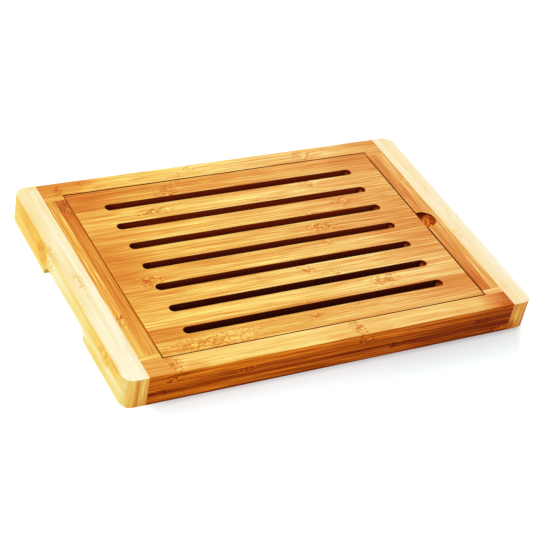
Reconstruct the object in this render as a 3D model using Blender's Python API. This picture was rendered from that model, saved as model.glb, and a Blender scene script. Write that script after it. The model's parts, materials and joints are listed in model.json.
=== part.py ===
"""Bamboo bread board with a lift-out slatted insert over a crumb tray.

Metres, +Z up. The origin is in the middle of the underside. X runs along the
board's length, Y from the front edge to the back one, and the board rests on
Z = 0. The frame and the insert are glued up from strips of bamboo, and each
strip is a piece of its own.
"""
import math

import bmesh
import bpy
from mathutils import Matrix, Vector

# Whole board
LENGTH = 0.400
DEPTH = 0.267
HEIGHT = 0.030

# Glued joints and running gaps
GLUE_LINE = 0.0003
SEAT_GAP = 0.0003
INSERT_CLEARANCE = 0.0007

# Sanded edges
EDGE_EASING = 0.0009
RIM_EASING = 0.0004
EASING_STEPS = 2
ROUND_PROFILE_SHARE = 0.5

# End caps, each of two strips on edge that run from front to back
CAP_OUTER_WIDTH = 0.0125
CAP_INNER_WIDTH = 0.0085
CORNER_RADIUS = 0.0100
CORNER_STEPS = 8

# Hand grip cut under each end cap
GRIP_LENGTH = 0.0935
GRIP_HEIGHT = 0.0105
GRIP_RADIUS_SHARE = 0.95
GRIP_STEPS = 8

# Long rails: five flat layers outside, and inside them a strip on edge with the ledge
RAIL_WIDTH = 0.0193
LEDGE_WIDTH = 0.0062
RAIL_LAYER_NAMES = ("base", "lower", "core", "upper", "top")
RAIL_LAYER_SHARES = (0.25, 0.21, 0.21, 0.21, 0.12)

# Short stiles beside the end caps: two strips at full height and one for the ledge
STILE_OUTER_WIDTH = 0.0088
STILE_INNER_WIDTH = 0.0107

# Dowels that pin the rails' ends to the end caps
DOWEL_DIAMETER = 0.0080
DOWEL_LENGTH = 0.0280
DOWEL_CHAMFER = 0.0008
DOWEL_SIDES = 24

# Crumb tray's floor panel, held in a groove round the ledge strips
FLOOR_THICKNESS = 0.0040
FLOOR_LIFT = 0.0030
GROOVE_WALL = 0.0022

# Slatted insert, glued up from staves and then slotted. The last stave is ripped narrower
# than the rest, and the solid edge beside the outer slots is a share of the slots' pitch.
INSERT_THICKNESS = 0.0150
STAVE_COUNT = 14
LAST_STAVE_SHARE = 0.6747
SLOT_COUNT = 7
SLOT_WIDTH = 0.0080
SLOT_END_MARGIN = 0.0300
SLOT_SIDE_SHARE = 0.8923
SLOT_SIDES = 24

# Finger scoop at the middle of the insert's right end, cut by a ball
SCOOP_BALL_RADIUS = 0.0114
SCOOP_DEPTH = 0.0100
SCOOP_SETBACK = 0.0032
SCOOP_SIDES = 32

# How far every cutter runs past what it cuts
OVERRUN = 0.0020

# Bamboo colours, and how far each piece lies from the first to the second
PALE = (0.860, 0.560, 0.210)
CARAMEL = (0.500, 0.170, 0.030)
CREAM = (0.900, 0.780, 0.520)
GOLD = (0.840, 0.590, 0.210)
ROUGHNESS = 0.42
RAIL_TONE_SHARES = (0.80, 0.95, 0.75, 0.70, 0.30)
STAVE_TONE_SHARES = (0.45, 0.75, 0.15, 0.30, 0.45, 0.60, 0.60, 0.50, 0.45, 0.30, 0.35, 0.20, 0.85, 0.90)
STILE_OUTER_TONE_SHARE = 0.35
STILE_INNER_TONE_SHARE = 0.70
LEDGE_TONE_SHARE = 0.20
FLOOR_TONE_SHARE = 0.85
DOWEL_TONE_SHARE = 0.10
CAP_OUTER_TONE_SHARE = 0.35
CAP_INNER_TONE_SHARE = 0.05

# Places that follow from the sizes above
HALF_LENGTH = LENGTH / 2
HALF_DEPTH = DEPTH / 2
HALF_GLUE = GLUE_LINE / 2
CAP_SPLIT_X = HALF_LENGTH - CAP_OUTER_WIDTH
JOINT_X = CAP_SPLIT_X - CAP_INNER_WIDTH
STILE_SPLIT_X = JOINT_X - STILE_OUTER_WIDTH
OPENING_X = STILE_SPLIT_X - STILE_INNER_WIDTH
OPENING_Y = HALF_DEPTH - RAIL_WIDTH
TRAY_X = OPENING_X - LEDGE_WIDTH
TRAY_Y = OPENING_Y - LEDGE_WIDTH
GROOVE_X = OPENING_X - GROOVE_WALL
GROOVE_Y = OPENING_Y - GROOVE_WALL
INSERT_X = OPENING_X - INSERT_CLEARANCE
INSERT_Y = OPENING_Y - INSERT_CLEARANCE
INSERT_UNDERSIDE = HEIGHT - INSERT_THICKNESS
LEDGE_TOP = INSERT_UNDERSIDE - SEAT_GAP
STAVE_WIDTH = 2 * INSERT_Y / (STAVE_COUNT - 1 + LAST_STAVE_SHARE)
SLOT_LENGTH = 2 * (INSERT_X - SLOT_END_MARGIN)
SLOT_PITCH = 2 * INSERT_Y / (SLOT_COUNT - 1 + 2 * SLOT_SIDE_SHARE)
BORE_RADIUS = DOWEL_DIAMETER / 2 + GLUE_LINE
DOWEL_Y = HALF_DEPTH - RAIL_WIDTH / 2
DOWEL_Z = HEIGHT / 2

# Which way each side of a block faces
SIDES = {
    "left": Vector((-1, 0, 0)),
    "right": Vector((1, 0, 0)),
    "front": Vector((0, -1, 0)),
    "back": Vector((0, 1, 0)),
    "bottom": Vector((0, 0, -1)),
    "top": Vector((0, 0, 1)),
}
ENDS = {"left": -1, "right": 1}
EDGES = {"front": -1, "back": 1}
SMOOTH_BELOW = math.radians(35)


def clear_scene():
    for old in list(bpy.data.objects):
        bpy.data.objects.remove(old, do_unlink=True)


def new_collection(name):
    made = bpy.data.collections.new(name)
    bpy.context.scene.collection.children.link(made)
    return made


def new_carrier(name, place, home):
    """An empty that a group of pieces hangs from."""
    made = bpy.data.objects.new(name, None)
    made.location = place
    home.objects.link(made)
    return made


def tint(first, second, share):
    return tuple(a + (b - a) * share for a, b in zip(first, second))


def paint(piece, colour):
    """Gives the piece a Principled material of its own."""
    finish = bpy.data.materials.new(piece.name + "_finish")
    finish.use_nodes = True
    shader = finish.node_tree.nodes["Principled BSDF"]
    shader.inputs["Base Color"].default_value = (*colour, 1.0)
    shader.inputs["Roughness"].default_value = ROUGHNESS
    shader.inputs["Metallic"].default_value = 0.0
    finish.diffuse_color = (*colour, 1.0)
    piece.data.materials.append(finish)


def stand(bm, name, place, home, carrier=None):
    """Makes an object of a shape drawn round its own middle, and stands it at a place."""
    mesh = bpy.data.meshes.new(name)
    bmesh.ops.recalc_face_normals(bm, faces=bm.faces)
    bm.to_mesh(mesh)
    bm.free()
    mesh.shade_smooth()
    mesh.set_sharp_from_angle(angle=SMOOTH_BELOW)
    made = bpy.data.objects.new(name, mesh)
    home.objects.link(made)
    made.location = Vector(place)
    if carrier:
        made.parent = carrier
        made.location -= carrier.location
    return made


def corner_edge(bm, first, second):
    """The edge of a unit cube where two named sides meet."""
    meeting = (SIDES[first] + SIDES[second]) / 2
    return min(bm.edges, key=lambda edge: ((edge.verts[0].co + edge.verts[1].co) / 2 - meeting).length)


def round_off(bm, edges, radius, steps):
    bmesh.ops.bevel(
        bm, geom=edges, offset=radius, segments=steps, profile=ROUND_PROFILE_SHARE, affect="EDGES"
    )


def block_shape(low, high, eased=(), easing=EDGE_EASING, steps=EASING_STEPS):
    """A block that fits between two corners, with the named edges rounded."""
    bm = bmesh.new()
    bmesh.ops.create_cube(bm, size=1)
    edges = [corner_edge(bm, first, second) for first, second in eased]
    bmesh.ops.scale(bm, vec=Vector(high) - Vector(low), verts=bm.verts)
    if edges:
        round_off(bm, edges, easing, steps)
    return bm


def middle(low, high):
    return (Vector(low) + Vector(high)) / 2


def block(name, low, high, home, carrier, colour, eased=(), easing=EDGE_EASING):
    piece = stand(block_shape(low, high, eased, easing), name, middle(low, high), home, carrier)
    paint(piece, colour)
    return piece


def rod_shape(radius, length, sides):
    """A round bar along X."""
    bm = bmesh.new()
    bmesh.ops.create_cone(
        bm, cap_ends=True, segments=sides, radius1=radius, radius2=radius, depth=length
    )
    bmesh.ops.rotate(bm, verts=bm.verts, matrix=Matrix.Rotation(math.radians(90), 3, "Y"))
    return bm


def cutter(bm, name, place, home):
    tool = stand(bm, name, place, home)
    tool.display_type = "WIRE"
    tool.hide_render = True
    return tool


def cut(piece, tool):
    """Takes the tool's shape out of the piece."""
    removal = piece.modifiers.new(tool.name, "BOOLEAN")
    removal.operation = "DIFFERENCE"
    removal.solver = "EXACT"
    removal.object = tool


def between(first, second):
    """Two places along X in rising order, so that one piece serves both ends."""
    return (first, second) if first < second else (second, first)


# Tools that cut more than one piece


def opening_cutter(home):
    """The recess for the insert, down to the ledge."""
    low = (-OPENING_X, -OPENING_Y - OVERRUN, LEDGE_TOP)
    high = (OPENING_X, OPENING_Y + OVERRUN, HEIGHT + OVERRUN)
    return cutter(block_shape(low, high), "opening_cutter", middle(low, high), home)


def groove_cutter(home):
    """The groove for the floor panel, all round the tray."""
    low = (-GROOVE_X, -GROOVE_Y, FLOOR_LIFT - GLUE_LINE)
    high = (GROOVE_X, GROOVE_Y, FLOOR_LIFT + FLOOR_THICKNESS + GLUE_LINE)
    return cutter(block_shape(low, high), "groove_cutter", middle(low, high), home)


def scoop_cutter(home):
    """The ball that hollows the finger scoop."""
    bm = bmesh.new()
    bmesh.ops.create_uvsphere(
        bm, u_segments=SCOOP_SIDES, v_segments=SCOOP_SIDES // 2, radius=SCOOP_BALL_RADIUS
    )
    place = (OPENING_X + SCOOP_SETBACK, 0, HEIGHT - SCOOP_DEPTH + SCOOP_BALL_RADIUS)
    return cutter(bm, "scoop_cutter", place, home)


def grip_cutter(end, home):
    """The hand grip under one end cap, open below and outwards."""
    low_x, high_x = between(ENDS[end] * (JOINT_X - OVERRUN), ENDS[end] * (HALF_LENGTH + OVERRUN))
    low = (low_x, -GRIP_LENGTH / 2, -OVERRUN)
    high = (high_x, GRIP_LENGTH / 2, GRIP_HEIGHT)
    rounded = (("top", "front"), ("top", "back"))
    bm = block_shape(low, high, rounded, GRIP_HEIGHT * GRIP_RADIUS_SHARE, GRIP_STEPS)
    return cutter(bm, "grip_cutter_" + end, middle(low, high), home)


def bore_cutter(end, edge, home):
    """The blind hole that a dowel fills, half in the rail and half in the end cap."""
    bm = rod_shape(BORE_RADIUS, DOWEL_LENGTH + 2 * GLUE_LINE, DOWEL_SIDES)
    place = (ENDS[end] * JOINT_X, EDGES[edge] * DOWEL_Y, DOWEL_Z)
    return cutter(bm, "bore_cutter_" + edge + "_" + end, place, home)


def slot_y(index):
    return (index - (SLOT_COUNT - 1) / 2) * SLOT_PITCH


def slot_cutter(index, home):
    """A slot with round ends: an upright cylinder whose two halves are drawn apart."""
    radius = SLOT_WIDTH / 2 / math.cos(math.pi / SLOT_SIDES)
    straight = SLOT_LENGTH - SLOT_WIDTH
    bm = bmesh.new()
    bmesh.ops.create_cone(
        bm,
        cap_ends=True,
        segments=SLOT_SIDES,
        radius1=radius,
        radius2=radius,
        depth=INSERT_THICKNESS + 2 * OVERRUN,
    )
    bmesh.ops.rotate(bm, verts=bm.verts, matrix=Matrix.Rotation(math.pi / SLOT_SIDES, 3, "Z"))
    for vert in bm.verts:
        vert.co.x += math.copysign(straight / 2, vert.co.x)
    place = (0, slot_y(index), INSERT_UNDERSIDE + INSERT_THICKNESS / 2)
    return cutter(bm, f"slot_cutter_{index + 1}", place, home)


# End caps


def cap_outer_shape(low, high, outside):
    """The outer strip of a cap: round outside corners first, then eased rims."""
    bm = bmesh.new()
    bmesh.ops.create_cube(bm, size=1)
    corners = [corner_edge(bm, outside, "front"), corner_edge(bm, outside, "back")]
    bmesh.ops.scale(bm, vec=Vector(high) - Vector(low), verts=bm.verts)
    round_off(bm, corners, min(CORNER_RADIUS, CAP_OUTER_WIDTH - EDGE_EASING), CORNER_STEPS)
    joint_face = min(bm.faces, key=lambda face: face.normal.dot(SIDES[outside]))
    rims = [
        edge
        for edge in bm.edges
        if edge not in joint_face.edges and edge.verts[0].co.z * edge.verts[1].co.z > 0
    ]
    round_off(bm, rims, EDGE_EASING, EASING_STEPS)
    return bm


def end_cap(end, home, frame, grip, bores):
    outer_x = between(ENDS[end] * (CAP_SPLIT_X + HALF_GLUE), ENDS[end] * HALF_LENGTH)
    inner_x = between(ENDS[end] * (JOINT_X + HALF_GLUE), ENDS[end] * (CAP_SPLIT_X - HALF_GLUE))
    low = (outer_x[0], -HALF_DEPTH, 0)
    high = (outer_x[1], HALF_DEPTH, HEIGHT)
    shape = cap_outer_shape(low, high, end)
    outer = stand(shape, f"end_cap_{end}_outer_strip", middle(low, high), home, frame)
    paint(outer, tint(CREAM, GOLD, CAP_OUTER_TONE_SHARE))
    inner = block(
        f"end_cap_{end}_inner_strip",
        (inner_x[0], -HALF_DEPTH, 0),
        (inner_x[1], HALF_DEPTH, HEIGHT),
        home,
        frame,
        tint(CREAM, GOLD, CAP_INNER_TONE_SHARE),
        (("top", "front"), ("top", "back"), ("bottom", "front"), ("bottom", "back")),
    )
    for strip in (outer, inner):
        cut(strip, grip)
        for bore in bores:
            cut(strip, bore)


# Long rails


def rail(edge, home, frame, opening, groove, bores):
    half = JOINT_X - HALF_GLUE
    outer_y = between(EDGES[edge] * OPENING_Y, EDGES[edge] * HALF_DEPTH)
    under = 0
    for name, share, tone_share in zip(RAIL_LAYER_NAMES, RAIL_LAYER_SHARES, RAIL_TONE_SHARES):
        over = under + share * HEIGHT
        lowest = name == RAIL_LAYER_NAMES[0]
        highest = name == RAIL_LAYER_NAMES[-1]
        low_z = under if lowest else under + HALF_GLUE
        high_z = HEIGHT if highest else over - HALF_GLUE
        eased = [("bottom", edge)] * lowest + [("top", edge)] * highest
        layer = block(
            f"{edge}_rail_{name}_layer",
            (-half, outer_y[0], low_z),
            (half, outer_y[1], high_z),
            home,
            frame,
            tint(PALE, CARAMEL, tone_share),
            eased,
        )
        if low_z < DOWEL_Z + BORE_RADIUS and high_z > DOWEL_Z - BORE_RADIUS:
            for bore in bores:
                cut(layer, bore)
        under = over

    ledge_y = between(EDGES[edge] * TRAY_Y, EDGES[edge] * (OPENING_Y - GLUE_LINE))
    ledge = block(
        f"{edge}_rail_ledge_strip",
        (-half, ledge_y[0], 0),
        (half, ledge_y[1], HEIGHT),
        home,
        frame,
        tint(PALE, CARAMEL, LEDGE_TONE_SHARE),
    )
    cut(ledge, opening)
    cut(ledge, groove)


# Short stiles


def stile(end, home, frame, groove, scoop):
    half = TRAY_Y - GLUE_LINE
    strips = (
        ("outer", STILE_SPLIT_X + HALF_GLUE, JOINT_X - HALF_GLUE, HEIGHT, STILE_OUTER_TONE_SHARE),
        ("inner", OPENING_X, STILE_SPLIT_X - HALF_GLUE, HEIGHT, STILE_INNER_TONE_SHARE),
        ("ledge", TRAY_X, OPENING_X - GLUE_LINE, LEDGE_TOP, LEDGE_TONE_SHARE),
    )
    for name, near, far, top, tone_share in strips:
        low_x, high_x = between(ENDS[end] * near, ENDS[end] * far)
        strip = block(
            f"{end}_stile_{name}_strip",
            (low_x, -half, 0),
            (high_x, half, top),
            home,
            frame,
            tint(PALE, CARAMEL, tone_share),
        )
        if name == "ledge":
            cut(strip, groove)
        if end == "right":
            cut(strip, scoop)


# Pieces hidden in the frame


def dowel(end, edge, home, frame):
    bm = rod_shape(DOWEL_DIAMETER / 2, DOWEL_LENGTH, DOWEL_SIDES)
    tips = [edge for edge in bm.edges if edge.verts[0].co.x * edge.verts[1].co.x > 0]
    round_off(bm, tips, DOWEL_CHAMFER, 1)
    place = (ENDS[end] * JOINT_X, EDGES[edge] * DOWEL_Y, DOWEL_Z)
    piece = stand(bm, f"dowel_{edge}_{end}", place, home, frame)
    paint(piece, tint(PALE, CARAMEL, DOWEL_TONE_SHARE))


def floor_panel(home, frame):
    half_x = GROOVE_X - GLUE_LINE
    half_y = GROOVE_Y - GLUE_LINE
    block(
        "crumb_tray_floor",
        (-half_x, -half_y, FLOOR_LIFT),
        (half_x, half_y, FLOOR_LIFT + FLOOR_THICKNESS),
        home,
        frame,
        tint(PALE, CARAMEL, FLOOR_TONE_SHARE),
    )


# Insert


def insert_staves(home, carrier, slots):
    """Staves of one width from the front edge back; the last is ripped to what is left."""
    for index in range(STAVE_COUNT):
        first = index == 0
        last = index == STAVE_COUNT - 1
        low_y = -INSERT_Y if first else -INSERT_Y + index * STAVE_WIDTH + HALF_GLUE
        high_y = INSERT_Y if last else -INSERT_Y + (index + 1) * STAVE_WIDTH - HALF_GLUE
        eased = [("top", "left"), ("top", "right")] + [("top", "front")] * first + [("top", "back")] * last
        stave = block(
            f"insert_stave_{index + 1:02d}",
            (-INSERT_X, low_y, INSERT_UNDERSIDE),
            (INSERT_X, high_y, HEIGHT),
            home,
            carrier,
            tint(PALE, CARAMEL, STAVE_TONE_SHARES[index % len(STAVE_TONE_SHARES)]),
            eased,
            RIM_EASING,
        )
        for number, slot in enumerate(slots):
            near = slot_y(number) - SLOT_WIDTH / 2
            far = slot_y(number) + SLOT_WIDTH / 2
            if near < high_y and far > low_y:
                cut(stave, slot)


def build():
    clear_scene()
    home = new_collection("bread_board")
    tools = new_collection("cutters")
    frame = new_carrier("frame_carrier", (0, 0, 0), home)
    lift = new_carrier("insert_lift", (0, 0, INSERT_UNDERSIDE), home)

    opening = opening_cutter(tools)
    groove = groove_cutter(tools)
    scoop = scoop_cutter(tools)
    slots = [slot_cutter(index, tools) for index in range(SLOT_COUNT)]
    bores = {(end, edge): bore_cutter(end, edge, tools) for end in ENDS for edge in EDGES}

    for end in ENDS:
        grip = grip_cutter(end, tools)
        end_cap(end, home, frame, grip, [bores[end, edge] for edge in EDGES])
        stile(end, home, frame, groove, scoop)
    for edge in EDGES:
        rail(edge, home, frame, opening, groove, [bores[end, edge] for end in ENDS])
    for end, edge in bores:
        dowel(end, edge, home, frame)
    floor_panel(home, frame)
    insert_staves(home, lift, slots)


build()
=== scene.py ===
"""Looks of the bamboo bread board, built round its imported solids.

Metres, +Z up. Every strip of the frame, every stave of the insert and the tray's floor
is made again with closed glue joints and eased edges. Each gets a bamboo material of its
own: tone, grain, the places of its bamboo nodes, and darker or paler stretches along its
length. The hidden dowels keep their solids.
"""

import json
import math

import bmesh
import bpy
from mathutils import Matrix, Vector


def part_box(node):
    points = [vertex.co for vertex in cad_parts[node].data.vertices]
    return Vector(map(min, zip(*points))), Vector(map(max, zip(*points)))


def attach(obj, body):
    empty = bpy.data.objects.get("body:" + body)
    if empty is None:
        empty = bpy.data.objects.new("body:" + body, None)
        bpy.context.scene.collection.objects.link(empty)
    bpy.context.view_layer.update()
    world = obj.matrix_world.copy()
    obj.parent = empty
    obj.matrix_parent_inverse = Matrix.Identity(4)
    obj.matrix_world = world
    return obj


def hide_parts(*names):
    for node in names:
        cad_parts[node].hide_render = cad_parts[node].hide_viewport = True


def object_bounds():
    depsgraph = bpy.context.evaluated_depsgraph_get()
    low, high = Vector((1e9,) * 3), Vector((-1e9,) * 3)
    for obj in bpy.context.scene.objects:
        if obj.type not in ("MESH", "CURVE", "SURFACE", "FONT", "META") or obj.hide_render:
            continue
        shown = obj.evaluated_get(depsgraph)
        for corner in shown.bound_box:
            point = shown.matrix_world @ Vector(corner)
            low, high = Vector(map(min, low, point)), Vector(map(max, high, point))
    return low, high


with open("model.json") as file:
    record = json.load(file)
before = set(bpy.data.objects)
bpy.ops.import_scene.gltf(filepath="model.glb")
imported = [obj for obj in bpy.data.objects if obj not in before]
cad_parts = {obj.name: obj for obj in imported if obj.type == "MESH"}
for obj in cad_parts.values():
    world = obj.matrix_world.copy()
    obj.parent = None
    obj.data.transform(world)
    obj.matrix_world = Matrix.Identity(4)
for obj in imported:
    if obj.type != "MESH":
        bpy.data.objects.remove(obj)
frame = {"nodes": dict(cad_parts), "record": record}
cad_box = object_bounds()

MM = 0.001

# Joints and edges
JOINT_LINE = 0.03 * MM
EDGE_RADIUS = 1.0 * MM
FOOT_RADIUS = 0.4 * MM
CAP_EDGE_RADIUS = 1.2 * MM
RIM_RADIUS = 0.35 * MM
SLOT_RIM_RADIUS = 0.5 * MM
GAP_RIM_RADIUS = 0.6 * MM
EDGE_STEPS = 3
ROUND_PROFILE = 0.5
CORNER_RADIUS = 10 * MM
CORNER_STEPS = 14

# Tolerances, and what tells edges and faces apart
TOUCHING = 0.01 * MM
MERGE_WITHIN = 0.002 * MM
SCORE_WITHIN = 0.001 * MM
EDGE_MARGIN = 2 * MM
DOWEL_REACH = 5 * MM
SHARP_ABOVE = math.radians(40)
SMOOTH_BELOW = math.radians(32)
LEVEL_ABOVE = 0.98
END_WALL_BELOW = 0.5

# Cuts that the frame doesn't give as boxes
OVERRUN = 3 * MM
SLOT_WIDTH = 8 * MM
SLOT_STEPS = 40
SCOOP_RADIUS = 11.4 * MM
SCOOP_DEPTH = 10 * MM
SCOOP_SETBACK = 3.2 * MM
SCOOP_STEPS = 64
GRIP_LENGTH = 93.5 * MM
GRIP_HEIGHT = 10.5 * MM
GRIP_RADIUS = 9.98 * MM
GRIP_STEPS = 14
GROOVE_WALL = 2.2 * MM
DOWEL_STEPS = 32

# Colours at stain depth 0 and stain depth 1: the bamboo's own, and painted shade and light for the
# slots, gaps, scoop and grip
FACE = ((1.000, 0.725, 0.262), (0.685, 0.191, 0.0235))
SIDE = ((0.760, 0.190, 0.011), (0.214, 0.022, 0.0006))
# Painted shadow on the slots' walls, and painted light and shade on the slots' ends
SLOT_WALL_SHADOW_PAINT = ((0.260, 0.027, 0.0055), (0.090, 0.010, 0.004))
SLOT_END_LIGHT_PAINT = ((1.000, 0.300, 0.040), (0.300, 0.030, 0.004))
# Painted shadow in the gaps round the insert
GAP_SHADOW_PAINT = ((0.420, 0.030, 0.006), (0.120, 0.008, 0.003))
# The scoop's end grain, darkened with painted shade
SCOOP = ((1.000, 0.370, 0.045), (0.170, 0.014, 0.001))
# Painted light on the grip's end walls, standing for light from the floor below
GRIP_LIGHT_PAINT = ((1.000, 0.600, 0.150), (0.620, 0.200, 0.030))
CAP_FACE = ((0.990, 0.915, 0.665), (0.910, 0.710, 0.310))
CAP_BLUSH = ((1.000, 0.915, 0.680), (0.985, 0.715, 0.330))
CAP_SIDE = ((1.000, 0.950, 0.620), (0.900, 0.500, 0.045))
CAP_END = ((1.000, 0.670, 0.150), (0.600, 0.160, 0.018))
LEAST_STAIN = -0.15
MOST_STAIN = 1.6
INK = (0.120, 0.020, 0.002)
CAP_INK = (0.620, 0.420, 0.080)
# Painted sheen: blue falls away towards the board's left end, so that the right end keeps the paler look
# of the light's sheen
LEFT_SHEEN_PAINT = (1.0, 1.0, 0.62)
LEFT_SHEEN_PAINT_SPAN = (0.140, -0.165)
RIM_EXTRA_TONE = 0.1
BACK_RIM_BLEND = (0.10, 0.50)

# Bamboo figure: waves per metre along and across the grain, and reaches in metres
SEED_SHIFT = (1.37, 0.53, 0.91)
DRIFT_WAVES = (7.0, 30.0, 30.0)
DRIFT_DETAIL = 1.0
DRIFT_REACH = (0.0, 0.004, 0.004)
CURL_WAVES = (200.0, 260.0, 260.0)
CURL_DETAIL = 2.0
CURL_REACH = (0.014, 0.008, 0.008)
NOISE_MIDDLE = (0.5, 0.5, 0.5)
WAVE_SWING = 2.0
RIDGE_HEIGHT = 0.85
RIDGE_FALL = 3.00
PALEST_CURL = -0.10
DASH_SPAN = (0.62, 1.0)
STROKE_SPAN = (0.45, 1.60)
STROKE_INK = 0.70
PATCH_EDGE = (0.4, 1.2)
KNOT_EDGE = (0.25, 1.2)

# Bamboo surface
GLOSS_TINT = (1.0, 0.70, 0.36)
TOP_GLOSS = 0.14
SIDE_GLOSS = 0.04
RAIL_SIDE_GLOSS = 0.03
ROUGHNESS = 0.46
STREAK_ROUGHNESS = 0.05
RELIEF_STRENGTH = 0.25
RELIEF_DEPTH = 0.05 * MM
FIBRE_RELIEF = 0.5

# Seeds of the grain: where each kind of strip starts, and the step to the next strip
STAVE_SEED_STEP = 1.7
LAYER_SEED = 31
LAYER_SEED_STEP = 1.3
RAIL_SEED_STEP = 7
LEDGE_SEED = 51
STILE_SEED = 61
STILE_SEED_STEP = 1.9
CAP_SEED = 81
CAP_SEED_STEP = 2.3

# Camera, fitted to the photo's straight edges
CAMERA_AIM = Vector((-0.0087, -0.0158, 0.0150))
CAMERA_DISTANCE = 1.4377
CAMERA_FORWARD = Vector((0.4459, 0.6593, -0.6054))
CAMERA_ROLL = math.radians(12.3)
CAMERA_LENS = 106.47
CAMERA_SENSOR = 36.0
CAMERA_NEAR = 0.01

# Light
SKY_LEVEL = 0.80
KEY_PLACE = Vector((-1.10, 0.75, 1.90))
KEY_SIZE = 1.3
KEY_POWER = 14.0
FLOOR_SIZE = 8.0
FLOOR_SHADE = (0.52, 0.575, 0.585)
FLOOR_BOUNCE = 0.90
FLOOR_GLOW = 0.64
# Painted light: the floor glows brighter at the board's left, so that no shadow shows under the hand
# grip
FLOOR_PAINTED_LIGHT_LEFT = 0.95
FLOOR_PAINTED_LIGHT_LEFT_SPAN = (-0.165, -0.190)

# Painted shadow: the strip of floor before the front, where the floor's glow is lowered so that the
# shadow stays soft far out
SHADOW_GLOW = (0.54, 0.44)
SHADOW_GLOW_SPAN = (-0.060, 0.120)
SHADOW_LEAN = 0.55
SHADOW_START = (-0.010, 0.0)
SHADOW_END = (0.056, 0.018)
SHADOW_LEFT = (-0.195, -0.150)
SHADOW_RIGHT = (0.199, 0.188)

# Painted shadow: the floor's glow lowered further right at the front's foot
FOOT_SHADE = 0.19
FOOT_SHADE_SPAN = (0.0, 0.0065)


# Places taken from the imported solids


def middle_of(first, second):
    return (first + second) / 2


GLUE_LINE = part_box("insert_stave_02")[0].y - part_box("insert_stave_01")[1].y
FLOOR_LEVEL = cad_box[0][2]
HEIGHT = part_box("front_rail_top_layer")[1].z
HALF_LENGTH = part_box("end_cap_right_outer_strip")[1].x
HALF_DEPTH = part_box("end_cap_right_outer_strip")[1].y
OPENING_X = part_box("right_stile_inner_strip")[0].x
OPENING_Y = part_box("back_rail_top_layer")[0].y
LEDGE_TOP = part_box("right_stile_ledge_strip")[1].z
INSERT_LOW_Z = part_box("insert_stave_01")[0].z
INSERT_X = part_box("insert_stave_01")[1].x
INSERT_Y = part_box("insert_stave_14")[1].y
SCOOP_CENTRE = Vector((OPENING_X + SCOOP_SETBACK, 0, HEIGHT - SCOOP_DEPTH + SCOOP_RADIUS))
TRAY_LOW, TRAY_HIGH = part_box("crumb_tray_floor")
OPENINGS = {item["name"]: item["box_m"] for item in frame["record"]["physics"]["openings"]}
SLOT_NAMES = sorted(name for name in OPENINGS if name.startswith("slot_"))

SIDES = {
    "left": Vector((-1, 0, 0)),
    "right": Vector((1, 0, 0)),
    "front": Vector((0, -1, 0)),
    "back": Vector((0, 1, 0)),
    "bottom": Vector((0, 0, -1)),
    "top": Vector((0, 0, 1)),
}
OPPOSITE = {"left": "right", "right": "left"}

# How much of a glue line a piece takes: half where its neighbour takes the rest, else all
HALF = 0.5
WHOLE = 1.0


def grown(node, **shares):
    """A node's box, with the named sides moved out over a share of the glue line."""
    low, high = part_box(node)
    low, high = low.copy(), high.copy()
    for side, share in shares.items():
        step = SIDES[side] * (GLUE_LINE * share - JOINT_LINE / 2)
        if sum(SIDES[side]) < 0:
            low += step
        else:
            high += step
    return low, high


# Mesh work


def block(low, high):
    bm = bmesh.new()
    bmesh.ops.create_cube(bm, size=1)
    bmesh.ops.scale(bm, vec=high - low, verts=bm.verts)
    bmesh.ops.translate(bm, vec=middle_of(low, high), verts=bm.verts)
    return bm


def as_object(bm, name):
    mesh = bpy.data.meshes.new(name)
    bm.to_mesh(mesh)
    bm.free()
    made = bpy.data.objects.new(name, mesh)
    bpy.context.scene.collection.objects.link(made)
    return made


def cut(bm, tools):
    """The shape less the tools."""
    work = as_object(bm, "work")
    for tool in tools:
        removal = work.modifiers.new(tool.name, "BOOLEAN")
        removal.operation = "DIFFERENCE"
        removal.solver = "EXACT"
        removal.object = tool
    result = bmesh.new()
    result.from_object(work, bpy.context.evaluated_depsgraph_get())
    bpy.data.objects.remove(work)
    bmesh.ops.remove_doubles(result, verts=result.verts, dist=MERGE_WITHIN)
    return result


def score(bm, direction, places):
    """Cuts the faces along planes, so that a rounded edge can end there."""
    for place in places:
        geometry = bm.verts[:] + bm.edges[:] + bm.faces[:]
        bmesh.ops.bisect_plane(
            bm, geom=geometry, dist=SCORE_WITHIN, plane_co=direction * place, plane_no=direction
        )


def ease(bm, radius, wanted, steps=EDGE_STEPS):
    """Rounds the sharp edges whose two ends pass the test."""
    edges = [
        edge
        for edge in bm.edges
        if len(edge.link_faces) == 2
        and edge.calc_face_angle(0) > SHARP_ABOVE
        and wanted(edge.verts[0].co, edge.verts[1].co)
    ]
    if edges:
        bmesh.ops.bevel(
            bm,
            geom=edges,
            offset=radius,
            segments=steps,
            profile=ROUND_PROFILE,
            affect="EDGES",
            clamp_overlap=True,
        )


def near(value, place):
    return abs(value - place) < TOUCHING


def both(test):
    return lambda first, second: test(first) and test(second)


def piece(bm, name, nodes, body, material, face_materials=()):
    """Makes the finished piece, which stands for its nodes and rides on its body.

    Each entry of the face materials is a test of a face and the material of the faces that pass it.
    """
    bmesh.ops.recalc_face_normals(bm, faces=bm.faces)
    made = as_object(bm, name)
    made.data.shade_smooth()
    made.data.set_sharp_from_angle(angle=SMOOTH_BELOW)
    normals = made.modifiers.new("flat_faces", "WEIGHTED_NORMAL")
    normals.keep_sharp = True
    made.data.materials.append(material)
    for test, finish in face_materials:
        found = [face for face in made.data.polygons if test(face.center, face.normal)]
        if found:
            made.data.materials.append(finish)
        for face in found:
            face.material_index = len(made.data.materials) - 1
    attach(made, body)
    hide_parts(*nodes)
    return made


# Tools that cut more than one piece


def round_bar(radius, length, steps):
    bm = bmesh.new()
    bmesh.ops.create_cone(
        bm, cap_ends=True, segments=steps, radius1=radius, radius2=radius, depth=length
    )
    return bm


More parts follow.
